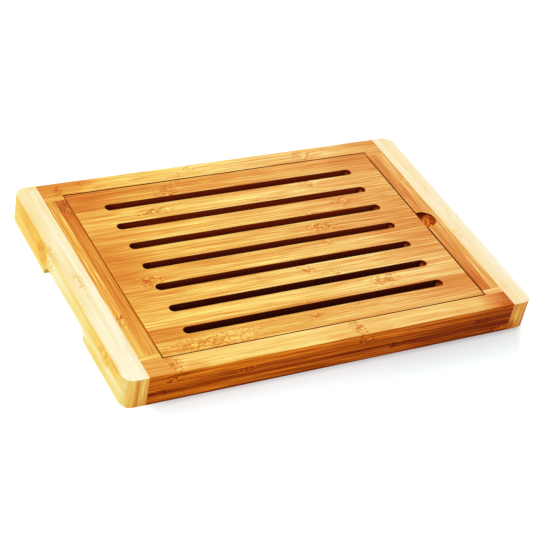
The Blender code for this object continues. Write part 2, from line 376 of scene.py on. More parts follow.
def slot_tool(name):
    """An upright bar with round ends, where the record says that a slot is."""
    low, high = OPENINGS[name]
    y = middle_of(low[1], high[1])
    straight = high[0] - low[0]
    bm = round_bar(SLOT_WIDTH / 2, HEIGHT - INSERT_LOW_Z + 2 * OVERRUN, SLOT_STEPS)
    bmesh.ops.rotate(bm, verts=bm.verts, matrix=Matrix.Rotation(math.pi / SLOT_STEPS, 3, "Z"))
    for vert in bm.verts:
        vert.co.x += math.copysign(straight / 2, vert.co.x)
    bmesh.ops.translate(bm, vec=(0, y, middle_of(HEIGHT, INSERT_LOW_Z)), verts=bm.verts)
    return as_object(bm, name + "_tool")


def scoop_tool():
    bm = bmesh.new()
    bmesh.ops.create_uvsphere(
        bm, u_segments=SCOOP_STEPS, v_segments=SCOOP_STEPS // 2, radius=SCOOP_RADIUS
    )
    bmesh.ops.translate(bm, vec=SCOOP_CENTRE, verts=bm.verts)
    return as_object(bm, "scoop_tool")


def grip_tool():
    """One bar through both end caps, rounded at its two upper edges."""
    low = Vector((-HALF_LENGTH - OVERRUN, -GRIP_LENGTH / 2, -OVERRUN))
    high = Vector((HALF_LENGTH + OVERRUN, GRIP_LENGTH / 2, GRIP_HEIGHT))
    bm = block(low, high)

    def upper_end(a, b):
        return near(a.z, GRIP_HEIGHT) and near(b.z, GRIP_HEIGHT) and near(a.y, b.y)

    ease(bm, GRIP_RADIUS, upper_end, GRIP_STEPS)
    return as_object(bm, "grip_tool")


def groove_tool():
    low = Vector((-OPENING_X + GROOVE_WALL, -OPENING_Y + GROOVE_WALL, TRAY_LOW.z - GLUE_LINE))
    high = Vector((OPENING_X - GROOVE_WALL, OPENING_Y - GROOVE_WALL, TRAY_HIGH.z + GLUE_LINE))
    return as_object(block(low, high), "groove_tool")


def opening_tool():
    low = Vector((-OPENING_X, -OPENING_Y - OVERRUN, LEDGE_TOP))
    high = Vector((OPENING_X, OPENING_Y + OVERRUN, HEIGHT + OVERRUN))
    return as_object(block(low, high), "opening_tool")


def bore_tool(node):
    """A blind hole that leaves the dowel its glue line all round."""
    low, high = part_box(node)
    radius = (high.z - low.z) / 2 + GLUE_LINE
    bm = round_bar(radius, high.x - low.x + 2 * GLUE_LINE, DOWEL_STEPS)
    bmesh.ops.rotate(bm, verts=bm.verts, matrix=Matrix.Rotation(math.radians(90), 3, "Y"))
    bmesh.ops.translate(bm, vec=middle_of(low, high), verts=bm.verts)
    return as_object(bm, node + "_tool")


# Shader graphs


class Graph:
    """Short names for the shader nodes that the materials are wired from."""

    def __init__(self, tree):
        self.tree = tree

    def add(self, kind, **settings):
        made = self.tree.nodes.new(kind)
        for key, value in settings.items():
            setattr(made, key, value)
        return made

    def plug(self, socket, value):
        if isinstance(value, bpy.types.NodeSocket):
            self.tree.links.new(value, socket)
        elif value is not None:
            socket.default_value = value

    def math(self, operation, first, second=None, third=None):
        made = self.add("ShaderNodeMath", operation=operation)
        for socket, value in zip(made.inputs, (first, second, third)):
            self.plug(socket, value)
        return made.outputs[0]

    def vector(self, operation, first, second=None, third=None):
        made = self.add("ShaderNodeVectorMath", operation=operation)
        for socket, value in zip(made.inputs, (first, second, third)):
            self.plug(socket, value)
        return made.outputs["Value" if operation == "LENGTH" else "Vector"]

    def noise(self, place, scale, detail=2.0, roughness=0.5):
        """Noise at a number of waves per metre along each axis."""
        stretched = self.vector("MULTIPLY", place, scale)
        made = self.add("ShaderNodeTexNoise", noise_dimensions="3D")
        self.plug(made.inputs["Vector"], stretched)
        made.inputs["Scale"].default_value = 1.0
        made.inputs["Detail"].default_value = detail
        made.inputs["Roughness"].default_value = roughness
        return made

    def wave(self, place, scale, detail=2.0, roughness=0.5):
        """The noise, spread out round zero."""
        factor = self.noise(place, scale, detail, roughness).outputs["Fac"]
        return self.math("MULTIPLY_ADD", factor, 2 * WAVE_SWING, -WAVE_SWING)

    def ramp(self, value, start, end, low=0.0, high=1.0):
        """A smooth step from one level to another."""
        made = self.add("ShaderNodeMapRange", interpolation_type="SMOOTHSTEP", clamp=True)
        self.plug(made.inputs["Value"], value)
        self.plug(made.inputs["From Min"], start)
        self.plug(made.inputs["From Max"], end)
        self.plug(made.inputs["To Min"], low)
        self.plug(made.inputs["To Max"], high)
        return made.outputs["Result"]

    def blend(self, share, first, second):
        made = self.add("ShaderNodeMix", data_type="RGBA")
        for name, part in (("Factor_Float", share), ("A_Color", first), ("B_Color", second)):
            self.plug(next(socket for socket in made.inputs if socket.identifier == name), part)
        return next(socket for socket in made.outputs if socket.identifier == "Result_Color")

    def stain(self, colour, strength, depth):
        """The colour, darkened by a stain's strength once for each unit of its depth."""
        made = self.add("ShaderNodeGamma")
        made.inputs["Color"].default_value = rgba(strength)
        self.plug(made.inputs["Gamma"], depth)
        return self.vector("MULTIPLY", made.outputs[0], colour)

    def stained(self, pair, depth):
        pale, dark = pair
        return self.stain(pale, [b / a for a, b in zip(pale, dark)], depth)

    def split(self, vector):
        made = self.add("ShaderNodeSeparateXYZ")
        self.plug(made.inputs[0], vector)
        return made.outputs

    def total(self, parts):
        result = parts[0]
        for part in parts[1:]:
            result = self.math("ADD", result, part)
        return result


def rgba(colour):
    return (*colour, 1.0)


def ridged(graph, wave):
    """Dark lines between pale cells, from a wave round zero."""
    return graph.math("MULTIPLY_ADD", graph.math("ABSOLUTE", wave), -RIDGE_FALL, RIDGE_HEIGHT)


# The figure's waves: how many per metre on each axis, their detail, and some have a roughness
FIGURE_WAVES = {
    "Clouds": ((14.0, 70.0, 70.0), 1.0),
    "Bands": ((3.5, 130.0, 130.0), 1.0),
    "Stripes": ((5.0, 300.0, 300.0), 1.0),
    "Streaks": ((8.0, 650.0, 650.0), 2.0, 0.6),
    "Fibres": ((15.0, 1700.0, 1700.0), 2.0, 0.6),
    "Curls": ((130.0, 240.0, 240.0), 1.5, 0.6),
    "Dashes": ((60.0, 2200.0, 2200.0), 0.0),
    "Layers": ((40.0, 500.0, 40.0), 1.0, 0.6),
}


def sway(graph, place, waves, detail, reach):
    """How far noise pushes a place on each axis."""
    noise = graph.noise(place, waves, detail).outputs["Color"]
    return graph.vector("MULTIPLY", graph.vector("SUBTRACT", noise, NOISE_MIDDLE), reach)


def figure_group():
    """Bamboo's figure in grain space: the first axis runs along the fibres."""
    tree = bpy.data.node_groups.new("bamboo_figure", "ShaderNodeTree")
    sockets = tree.interface
    sockets.new_socket("Place", in_out="INPUT", socket_type="NodeSocketVector")
    sockets.new_socket("Seed", in_out="INPUT", socket_type="NodeSocketFloat")
    sockets.new_socket("Knot", in_out="INPUT", socket_type="NodeSocketFloat")
    for name in FIGURE_WAVES:
        sockets.new_socket(name, in_out="OUTPUT", socket_type="NodeSocketFloat")
    graph = Graph(tree)
    given = graph.add("NodeGroupInput")
    out = graph.add("NodeGroupOutput")

    shift = graph.vector("MULTIPLY", given.outputs["Seed"], SEED_SHIFT)
    place = graph.vector("ADD", given.outputs["Place"], shift)
    drift = sway(graph, place, DRIFT_WAVES, DRIFT_DETAIL, DRIFT_REACH)
    curl = sway(graph, place, CURL_WAVES, CURL_DETAIL, CURL_REACH)
    curl = graph.vector("MULTIPLY", curl, given.outputs["Knot"])
    place = graph.vector("ADD", graph.vector("ADD", place, drift), curl)

    results = {name: graph.wave(place, *settings) for name, settings in FIGURE_WAVES.items()}
    results["Curls"] = ridged(graph, results["Curls"])
    results["Dashes"] = graph.ramp(results["Dashes"], *DASH_SPAN)
    for name, socket in results.items():
        graph.plug(out.inputs[name], socket)
    return tree


FIGURE = figure_group()


def grain_space(graph, grain):
    """A point's board x, its place in the strip's own axes, and how a face lies in them."""
    coordinates = graph.add("ShaderNodeTexCoord")
    place = coordinates.outputs["Object"]
    normal = coordinates.outputs["Normal"]
    board_x = graph.split(place)[0]
    if grain == "Y":
        place = swap_axes(graph, place)
        normal = swap_axes(graph, normal)
    return board_x, place, graph.split(graph.vector("ABSOLUTE", normal))


def stain_and_shade_depth(graph, place, grain_depth, tone, shades):
    """Depth of stain, painted shade and light: the grain, its growth on the strip's axes and the tone,
    within limits.
    """
    axes = graph.split(place)
    parts = [grain_depth]
    for axis, first, last, amount in shades:
        parts.append(graph.ramp(axes[AXES.index(axis)], first * MM, last * MM, 0.0, amount))
    depth = graph.math("ADD", graph.total(parts), tone)
    return graph.math("MINIMUM", graph.math("MAXIMUM", depth, LEAST_STAIN), MOST_STAIN)


def bamboo(
    name,
    seed,
    face=FACE,
    side=SIDE,
    end=SIDE,
    tone=0.3,
    side_tone=0.3,
    end_tone=0.3,
    grain="X",
    clouds=0.05,
    bands=0.11,
    stripes=0.14,
    streaks=0.25,
    fibres=0.62,
    layers=0.40,
    shades=(),
    side_shades=(),
    end_shades=(),
    knots=(),
    knot_tone=0.0,
    patches=(),
    dashes=0.22,
    ink=INK,
    sheen_paint=1.0,
    gloss=TOP_GLOSS,
    level_blend=(0.45, 0.80),
    end_blend=(0.60, 0.85),
):
    """A strip of bamboo, whose colour follows how deep the stain is, with painted shade and light added
    to that depth in some strips.

    A shade lets the stain grow along one axis: shades are on the level faces, side shades on
    the faces beside the grain and end shades on the faces across it. A patch changes the
    stain in an oval on every face, and a knot is an oval that holds a bamboo node.
    """
    material = bpy.data.materials.new(name)
    material.use_nodes = True
    tree = material.node_tree
    graph = Graph(tree)
    board_x, place, facing = grain_space(graph, grain)
    mask = knot_mask(graph, place, knots)
    figure = graph.add("ShaderNodeGroup", node_tree=FIGURE)
    graph.plug(figure.inputs["Place"], place)
    figure.inputs["Seed"].default_value = seed
    graph.plug(figure.inputs["Knot"], mask)

    def share(output, amount):
        return graph.math("MULTIPLY", figure.outputs[output], amount)

    curls = graph.math("ADD", figure.outputs["Curls"], knot_tone)
    curls = graph.math("MULTIPLY", graph.math("MAXIMUM", curls, PALEST_CURL), mask)
    figures = [
        share("Clouds", clouds), share("Bands", bands), share("Stripes", stripes),
        share("Streaks", streaks), share("Fibres", fibres), curls,
    ]
    blots = [graph.ramp(oval(graph, place, *spot), *PATCH_EDGE, amount, 0.0) for amount, spot in patches]
    long_grain = graph.total(figures + blots)
    end_grain = graph.total([share("Layers", layers)] + blots)
    face_colour = graph.stained(face, stain_and_shade_depth(graph, place, long_grain, tone, shades))
    side_colour = graph.stained(side, stain_and_shade_depth(graph, place, long_grain, side_tone, side_shades))
    end_colour = graph.stained(end, stain_and_shade_depth(graph, place, end_grain, end_tone, end_shades))
    colour = graph.blend(graph.ramp(facing[2], *level_blend), side_colour, face_colour)
    colour = graph.blend(graph.ramp(facing[0], *end_blend), colour, end_colour)
    # Painted sheen: less blue towards the board's left end
    if sheen_paint:
        colour = graph.stain(colour, LEFT_SHEEN_PAINT, graph.ramp(board_x, *LEFT_SHEEN_PAINT_SPAN, 0.0, sheen_paint))
    strokes = graph.ramp(curls, *STROKE_SPAN, 0.0, STROKE_INK)
    inked = graph.math("MAXIMUM", share("Dashes", dashes), strokes)
    shader = tree.nodes["Principled BSDF"]
    graph.plug(shader.inputs["Base Color"], graph.blend(inked, colour, rgba(ink)))
    finish_surface(graph, shader, figure, gloss)
    return material


def finish_surface(graph, shader, figure, gloss):
    """A satin finish, a little rougher in the streaks, with the fibres in low relief."""
    streaks = figure.outputs["Streaks"]
    rough = graph.math("MULTIPLY_ADD", streaks, STREAK_ROUGHNESS, ROUGHNESS)
    graph.plug(shader.inputs["Roughness"], rough)
    shader.inputs["Specular IOR Level"].default_value = gloss
    shader.inputs["Specular Tint"].default_value = rgba(GLOSS_TINT)
    relief = graph.add("ShaderNodeBump")
    relief.inputs["Strength"].default_value = RELIEF_STRENGTH
    relief.inputs["Distance"].default_value = RELIEF_DEPTH
    height = graph.math("MULTIPLY_ADD", figure.outputs["Fibres"], FIBRE_RELIEF, streaks)
    graph.plug(relief.inputs["Height"], height)
    graph.plug(shader.inputs["Normal"], relief.outputs["Normal"])


def swap_axes(graph, vector):
    """Turns X into Y and back, for strips that run from front to back."""
    parts = graph.split(vector)
    joined = graph.add("ShaderNodeCombineXYZ")
    for source, target in ((0, 1), (1, 0), (2, 2)):
        graph.plug(joined.inputs[target], parts[source])
    return joined.outputs[0]


def oval(graph, place, centre, half, turn):
    """How far a point lies from an oval's middle, where one is the oval's outline."""
    local = graph.add("ShaderNodeMapping", vector_type="TEXTURE")
    graph.plug(local.inputs["Vector"], place)
    local.inputs["Location"].default_value = centre
    local.inputs["Rotation"].default_value = (0, 0, turn)
    local.inputs["Scale"].default_value = half
    return graph.vector("LENGTH", local.outputs[0])


def knot_mask(graph, place, knots):
    """How deep in one of the strip's bamboo nodes a point lies."""
    mask = None
    for strength, spot in knots:
        found = graph.ramp(oval(graph, place, *spot), *KNOT_EDGE, strength, 0.0)
        mask = found if mask is None else graph.math("MAXIMUM", mask, found)
    return 0.0 if mask is None else mask


# Places in a strip, in millimetres on its own axes


# A shade is one of these axes, where the tone starts and stops changing on it, and by how much
AXES = ("along", "across", "up")
UNBOUNDED = 1000


def knot(along, across, half_length=9, half_width=8, strength=1.0, turn=0, up=(0, UNBOUNDED)):
    """A bamboo node: its strength, and its oval."""
    middle_height, half_height = up
    centre = [value * MM for value in (along, across, middle_height)]
    half = [value * MM for value in (half_length, half_width, half_height)]
    return strength, (centre, half, math.radians(turn))


def patch(amount, along=(0, UNBOUNDED), across=(0, UNBOUNDED), up=(0, UNBOUNDED), turn=0):
    """A change of tone in an oval, with the middle and half width on each axis."""
    centre, half = zip(*((middle * MM, width * MM) for middle, width in (along, across, up)))
    return amount, (centre, half, math.radians(turn))


# Cut faces and the materials they get, most of them with painted shade and light


def slanted(normal):
    """True for a face that isn't level, the eased rims among them."""
    return abs(normal.z) < LEVEL_ABOVE


def any_side(centre, normal):
    return slanted(normal)


def opening_wall(centre, normal):
    """The frame's walls round the insert, with their rims."""
    inside = abs(centre.x) < OPENING_X + RIM_RADIUS and abs(centre.y) < OPENING_Y + RIM_RADIUS
    return inside and slanted(normal) and centre.z > LEDGE_TOP


def slot_wall(centre, normal):
    """The walls of the insert's slots, with their rims."""
    inside_x = abs(centre.x) < INSERT_X - EDGE_MARGIN
    inside_y = abs(centre.y) < INSERT_Y - EDGE_MARGIN
    return slanted(normal) and inside_x and inside_y


def insert_edge(centre, normal):
    return slanted(normal) and not slot_wall(centre, normal)


def gap_rim(centre, normal):
    """The rim of the insert's right end, in the shadow of its gap."""
    at_end = centre.x > INSERT_X - GAP_RIM_RADIUS
    at_top = centre.z > HEIGHT - GAP_RIM_RADIUS
    return slanted(normal) and at_end and at_top


def scoop_face(centre, normal):
    return abs((centre - SCOOP_CENTRE).length - SCOOP_RADIUS) < RIM_RADIUS and slanted(normal)


def dark_wall(name, seed, pair, end=None, **more):
    """A wall in a gap or a slot, whose one pair of colours holds its painted shadow."""
    looks = dict(fibres=0.1, dashes=0, gloss=SIDE_GLOSS, sheen_paint=0)
    return bamboo(name, seed, face=pair, side=pair, end=end or pair, **looks, **more)


# Painted shadow of the gap round the insert, in the frame's walls there: darker colours and tones,
# deepest on the right and back walls, with darker and paler stretches along them
OPENING_WALLS = {
    "left": dark_wall("bamboo_left_wall_shadow", 3.1, SIDE, grain="Y", side_tone=0.5, end_tone=0.6),
    "right": dark_wall(
        "bamboo_right_wall_shadow", 3.9, GAP_SHADOW_PAINT, grain="Y", side_tone=0.2, end_tone=0.6,
        side_shades=[("along", -10, -16, 0.9), ("along", 10, 50, 0.7), ("along", 66, 84, -0.7)],
    ),
    "front": dark_wall("bamboo_front_wall_shadow", 3.3, SIDE, tone=0.9, side_tone=1.0, end_tone=0.6),
    "back": dark_wall(
        "bamboo_back_wall_shadow", 3.5, GAP_SHADOW_PAINT, side_tone=0.0, end_tone=0.6,
        side_shades=[("along", 110, -130, 1.4)],
    ),
}
# Painted shadow and light in the slots: the walls darken towards the front slots, the left ends and just
# short of the right ends; the end walls are lit low down and shaded towards the top, the left ones
# darkest
SLOT_SHADOW_AND_LIGHT = dark_wall(
    "bamboo_slot_shadow_and_light", 4.1, SLOT_WALL_SHADOW_PAINT, end=SLOT_END_LIGHT_PAINT, streaks=0.12, side_tone=0.0, end_tone=0.1,
    end_blend=(0.10, 0.45),
    side_shades=[("across", 50, -100, 1.0), ("along", -115, -128, 0.8), ("along", 120, 124.5, 0.5)],
    end_shades=[("along", 0, -1, 1.3), ("up", 24.5, 29.3, 1.4)],
)
# Painted shadow of the gap on the rims of the insert's right end
GAP_RIM_SHADOW = dark_wall("bamboo_gap_rim_shadow", 5.3, GAP_SHADOW_PAINT, tone=0.3, side_tone=0.3, end_tone=0.3)
# Painted shadow of the gap on the insert's edges: darker towards the right end, and on the end faces
# towards the front
INSERT_EDGE_SHADOW = bamboo(
    "bamboo_insert_edge_shadow", seed=5.7, tone=0.75, side_tone=0.80, end_tone=0.05, gloss=SIDE_GLOSS,
    shades=[("along", 60, 100, 0.8)], side_shades=[("along", 60, 100, 0.8)],
    end_shades=[("across", -85, -110, 0.8)],
)
# Painted shadow of the back gap on the last stave's edge, darker towards the left
BACK_EDGE_SHADOW = bamboo(
    "bamboo_insert_back_edge_shadow", seed=5.9, tone=0.50, side_tone=0.30, end_tone=0.05, gloss=SIDE_GLOSS,
    shades=[("along", 30, -150, 1.1)], side_shades=[("along", 30, -150, 1.3)],
)


# Insert


LEFT_SHADE = (-95, -150)
RIGHT_SHADE = (60, 150)

# For each stave from the front: tone, growth of tone at the left and at the right end, knots
STAVES = (
    (0.26, 0.14, 0.34, [knot(-106, -104.5, 52, 11, 0.8), knot(-9, -99, 9, 5, 0.7, turn=8)]),
    (0.41, 0.36, 0.26, [knot(-8, -84, 10, 5, 0.6), knot(36, -94.5, 9, 4, 0.3)]),
    (0.16, 0.04, 0.27, [knot(78, -70, 17, 9, turn=6)]),
    (0.19, 0.12, 0.24, [knot(36, -50.5, 14, 5, 0.8, turn=-6)]),
    (0.23, 0.27, 0.27, [knot(13, -39, 9, 9, 0.9, turn=4)]),
    (0.24, 0.37, 0.40, [knot(-130, -20, 16, 9)]),
    (0.35, 0.40, 0.34, [knot(53, -7.5, 8, 5, 0.8, turn=4)]),
    (0.38, 0.26, 0.26, [knot(57, 15, 17, 9)]),
    (0.30, 0.48, 0.24, [knot(56, 34, 17, 6, 0.9)]),
    (0.22, 0.42, 0.22, [knot(95, 46, 12, 9, 0.9, turn=5)]),
    (0.25, 0.10, 0.10, [knot(20, 66, 10, 4, 0.3)]),
    (0.22, 0.26, 0.26, [knot(-88, 72, 24, 6, 1.2, turn=3), knot(78.5, 78, 12, 7, 0.8, turn=-4)]),
    (0.51, 0.44, 0.12, [knot(-64, 96, 14, 9)]),
    (0.61, 0.45, 0.20, [knot(-48, 108, 18, 4, 0.5), knot(-60, 105, 8, 5, 0.6)]),
)

# Darker and paler stretches, by the stave's number
STAVE_PATCHES = {
    1: [patch(0.05, along=(10, 50))],
    2: [patch(0.10, along=(-20, 50))],
    3: [patch(0.06, along=(30, 40))],
    4: [patch(0.14, along=(-85, 40)), patch(-0.06, along=(25, 40))],
    5: [patch(0.06, along=(-85, 40)), patch(-0.10, along=(60, 50))],
    7: [patch(0.06, along=(-80, 40))],
    8: [patch(-0.05, along=(-85, 40)), patch(0.04, along=(0, 60)), patch(0.08, along=(85, 40))],
    9: [patch(-0.05, along=(-85, 40)), patch(0.08, along=(85, 40))],
    10: [patch(0.14, along=(85, 40))],
    11: [patch(0.10, along=(-85, 40))],
    12: [patch(0.12, along=(-90, 22), across=(72, 8))],
    13: [patch(-0.08, along=(85, 40))],
    14: [patch(0.10, along=(-110, 50)), patch(-0.06, along=(80, 40))],
}


def stave(index, slots):
    node = f"insert_stave_{index:02d}"
    first = index == 1
    last = index == len(STAVES)
    sides = {}
    if not first:
        sides["front"] = HALF
    if not last:
        sides["back"] = HALF
    low, high = grown(node, **sides)
    reach = [tool for tool, near_y, far_y in slots if near_y < high.y and far_y > low.y]
    bm = block(low, high)
    if reach:
        bm = cut(bm, reach)

    def in_joint(y):
        return (near(y, low.y) and not first) or (near(y, high.y) and not last)

    def rim(a, b):
        joint = near(a.y, b.y) and in_joint(a.y)
        return near(a.z, b.z) and not joint

    def gap_edge(a, b):
        at_right = near(a.x, INSERT_X) and near(b.x, INSERT_X) and not (first or last)
        at_back = near(a.y, INSERT_Y) and near(b.y, INSERT_Y)
        return rim(a, b) and (at_right or at_back)

    ease(bm, GAP_RIM_RADIUS, gap_edge)
    ease(bm, SLOT_RIM_RADIUS, rim)
    tone, left, right, knots = STAVES[index - 1]
    material = bamboo(
        f"bamboo_stave_{index:02d}",
        seed=index * STAVE_SEED_STEP,
        tone=tone,
        shades=[("along", *LEFT_SHADE, left), ("along", *RIGHT_SHADE, right)],
        knots=knots,
        patches=STAVE_PATCHES.get(index, ()),
    )
    # Painted shadow of the gap on the stave's outer edges
    stave_edge_shade = BACK_EDGE_SHADOW if last else INSERT_EDGE_SHADOW
    face_materials = [(slot_wall, SLOT_SHADOW_AND_LIGHT), (insert_edge, stave_edge_shade), (gap_rim, GAP_RIM_SHADOW)]
    piece(bm, f"stave_{index:02d}", [node], "insert", material, face_materials)


def insert():
    tools = []
    for name in SLOT_NAMES:
        y = middle_of(OPENINGS[name][0][1], OPENINGS[name][1][1])
        tools.append((slot_tool(name), y - SLOT_WIDTH / 2, y + SLOT_WIDTH / 2))
    for index in range(1, len(STAVES) + 1):
        stave(index, tools)
    for tool, _, _ in tools:
        bpy.data.objects.remove(tool)


# Rails


# For each layer of a rail: side tone, changes of tone on its sides, knots
FRONT_LAYERS = {
    "base": (
        0.27,
        [
            ("along", -60, 0, -0.05), ("along", 40, 140, 0.37), ("along", 158, 176, -0.30),
            # Painted shade: the base darkens towards the floor, where the contact shadow falls
            ("up", 3.2, 0, 0.75),
        ],
        [knot(165, -133, 12, 6, 0.6)],
    ),
    "lower": (
        0.28,
        [
            ("along", -60, 0, 0.31), ("along", 60, 140, 0.17), ("up", 8.2, 9.6, 0.25),
            ("up", 11.8, 13.2, -0.32),
        ],
        [knot(-169, -133, 7, 6), knot(59, -133, 9, 6)],
    ),
    "core": (
        0.42,
        [("along", -60, 0, -0.04), ("along", 30, 110, 0.37), ("up", 15.6, 14.2, -0.30)],
        [knot(-89.5, -133, 10, 6, 0.6), knot(146, -133, 9, 6, 0.6)],
    ),
    "upper": (
        0.04,
        [("along", 40, 110, 0.30), ("along", 120, 150, 0.22), ("up", 24.6, 25.6, 0.25)],
        [knot(-157, -133, 12, 6), knot(27.5, -133, 10, 6)],
    ),
    "top": (
        0.01,
        [("along", 20, 150, 0.14), ("along", 110, 165, 0.30), ("up", 27.2, 26.2, 0.35)],
        [knot(-152, -124, 8, 12, turn=14), knot(21, -124, 8, 12, turn=12), knot(170, -129, 8, 8, 0.6)],
    ),
}
BACK_LAYERS = {
    "base": (0.35, [("up", 6.3, 7.3, 0.35)], [knot(-40, 133, 10, 6)]),
    "lower": (0.55, [("up", 8.2, 10.5, 0.20)], [knot(88, 133, 9, 6), knot(-120, 133, 9, 6)]),
    "core": (0.40, [("up", 15.5, 13.8, 0.30)], [knot(-151, 133, 10, 6), knot(31, 133, 9, 6)]),
    "upper": (0.25, [("up", 21.3, 20, 0.30)], [knot(133, 133, 10, 6)]),
    "top": (0.20, [("up", 27.5, 26.4, 0.20)], [
        knot(-163, 121, 7, 7, 0.9), knot(-135, 128, 9, 4, 0.7), knot(-44, 120, 9, 6, 0.8),
        knot(-28, 128, 10, 5, 0.8), knot(92.5, 122, 12, 10, 0.9),
    ]),
}

# Darker and paler stretches, by the layer's node
RAIL_PATCHES = {
    "front_rail_lower_layer": [
        patch(0.34, along=(-168, 34), up=(10.2, 2.4)),
        patch(0.30, along=(45, 60), up=(11.8, 1.4)),
        patch(0.20, along=(68, 14), up=(11, 2.2)),
    ],
    "front_rail_core_layer": [
        patch(0.10, along=(160, 45), up=(17, 4)), patch(0.20, along=(45, 45), up=(18.5, 2.5)),
        patch(-0.26, along=(-90, 5), up=(16.2, 1.5)),
    ],
    "front_rail_upper_layer": [patch(-0.15, along=(-165, 20), up=(23, 4))],
    "front_rail_top_layer": [
        patch(0.45, along=(-152, 10), across=(-133, 3), up=(27.4, 1.2)),
        patch(-0.40, along=(-140, 45), across=(-133.5, 2), up=(28.8, 2)),
        patch(0.24, along=(-137, 14), across=(-131, 7)),
        patch(-0.12, along=(-45, 45), across=(-132, 6)),
    ],
    "back_rail_top_layer": [
        patch(0.14, along=(60, 60), across=(115, 7)),
        patch(-0.08, along=(-40, 60), across=(132, 7)),
        patch(0.24, along=(168, 28), across=(132, 8)),
        patch(0.14, along=(-132, 16), across=(131, 6)),
    ],
}

# For each rail's ledge strip: tone, and its growth to the right
LEDGE_TONES = {"front": (0.13, 0.22), "back": (0.24, 0.26)}

# The rails' upper faces
FRONT_FACE = dict(
    tone=0.10, streaks=0.16, stripes=0.09, bands=0.08, fibres=0.30, sheen_paint=0.5,
    shades=[
        ("along", -146, -155, 0.38), ("along", -30, 5, 0.11), ("along", 45, 60, -0.09),
        ("along", 105, 125, 0.10), ("along", 142, 172, 0.66), ("along", 168, 180, 0.50),
    ],
)
BACK_FACE = dict(
    tone=0.17, streaks=0.26, stripes=0.12,
    shades=[("along", -115, -165, 0.49), ("along", -30, -80, 0.09), ("along", 70, 150, 0.18)],
)


def ease_rail_top(bm, outer_y, inner_y):
    """Rounds the outer edge all along, and the opening's edge between the stiles."""
    score(bm, SIDES["right"], (-OPENING_X, OPENING_X))

    def outer_edge(co):
        return near(co.z, HEIGHT) and near(co.y, outer_y)

    def inner_edge(co):
        return near(co.z, HEIGHT) and near(co.y, inner_y) and abs(co.x) < OPENING_X + JOINT_LINE

    ease(bm, EDGE_RADIUS, both(outer_edge))
    ease(bm, RIM_RADIUS, both(inner_edge))


def rail_layer(edge, name, tools, seed):
    node = f"{edge}_rail_{name}_layer"
    top = name == "top"
    bottom = name == "base"
    sides = {"left": HALF, "right": HALF}
    if not top:
        sides["top"] = HALF
    if not bottom:
        sides["bottom"] = HALF
    low, high = grown(node, **sides)
    bm = block(low, high)
    outer_y, inner_y = (low.y, high.y) if edge == "front" else (high.y, low.y)
    if top:
        ease_rail_top(bm, outer_y, inner_y)
    if bottom:
        ease(bm, FOOT_RADIUS, both(lambda co: near(co.z, 0) and near(co.y, outer_y)))
    if name in ("lower", "core"):
        bm = cut(bm, tools)
    side_tone, side_shades, knots = (FRONT_LAYERS if edge == "front" else BACK_LAYERS)[name]
    upper = FRONT_FACE if edge == "front" else BACK_FACE
    patches = RAIL_PATCHES.get(node, ())
    common = dict(side_tone=side_tone, side_shades=side_shades, knots=knots, patches=patches)
    rim = dict(gloss=RAIL_SIDE_GLOSS, streaks=0.44, fibres=0.46)
    if top:
        rim.update(tone=upper["tone"] + RIM_EXTRA_TONE, shades=upper["shades"])
    if top and edge == "back":
        rim.update(level_blend=BACK_RIM_BLEND)
    material = bamboo(f"bamboo_{edge}_rail_{name}", seed, **rim, **common)
    face_materials = []
    if top:
        face_materials = [(any_side, material), (opening_wall, OPENING_WALLS[edge])]
        material = bamboo(f"bamboo_{edge}_rail_face", seed, **upper, **common)
    piece(bm, f"{edge}_rail_{name}", [node], "frame", material, face_materials)


def ledge_strip(edge, opening, groove, seed):
    node = f"{edge}_rail_ledge_strip"
    low, high = grown(node, left=HALF, right=HALF, **{edge: WHOLE})
    bm = cut(block(low, high), [opening, groove])
    ease(bm, RIM_RADIUS, both(lambda co: near(co.z, HEIGHT) and near(abs(co.x), OPENING_X)))
    tone, right_growth = LEDGE_TONES[edge]
    material = bamboo(
        f"bamboo_{edge}_ledge",
        seed=seed,
        tone=tone,
        shades=[("along", 0, 120, right_growth)],
        side_tone=0.35,
        sheen_paint=0.8,
    )
    face_materials = [(opening_wall, OPENING_WALLS[edge])]
    piece(bm, f"{edge}_rail_ledge", [node], "frame", material, face_materials)


def rails(bores, opening, groove):
    for row, edge in enumerate(("front", "back")):
        for step, name in enumerate(FRONT_LAYERS):
            seed = LAYER_SEED + row * RAIL_SEED_STEP + step * LAYER_SEED_STEP
            rail_layer(edge, name, bores, seed)
        ledge_strip(edge, opening, groove, LEDGE_SEED + row)


# Stiles


# For each strip: tone, changes of tone along it, knots
STILES = {
    "left_stile_outer_strip": (
        0.38, [("along", -20, 60, 0.12), ("along", -50, -95, -0.14)], [knot(-61, -174, 10, 6)],
    ),
    "left_stile_inner_strip": (
        0.84,
        [("along", 40, 70, 0.18), ("along", 70, 86, 0.16), ("along", -40, -110, -0.20)],
        [knot(97, -165, 15, 10, 2.2)],
    ),
    "left_stile_ledge_strip": (0.30, [], []),
    "right_stile_outer_strip": (0.42, [("along", 10, 50, -0.07)], [knot(63, 175, 7, 5, 0.5)]),
    "right_stile_inner_strip": (0.74, [("along", 20, -60, 0.05), ("along", -60, -100, 0.32)], []),
    "right_stile_ledge_strip": (0.30, [], []),
}
STILE_LOOKS = dict(grain="Y", side_tone=0.5, stripes=0.08, streaks=0.15, fibres=0.70)
# Shades in the scoop: painted shade darkens it up its far wall and painted light pales it towards its
# front; it also grows browner towards its right side
SCOOP_PAINTED_SHADE = [("along", 7, 10.8, 0.9), ("across", 170.6, 172.2, 0.30), ("along", -3, -9, -0.35)]
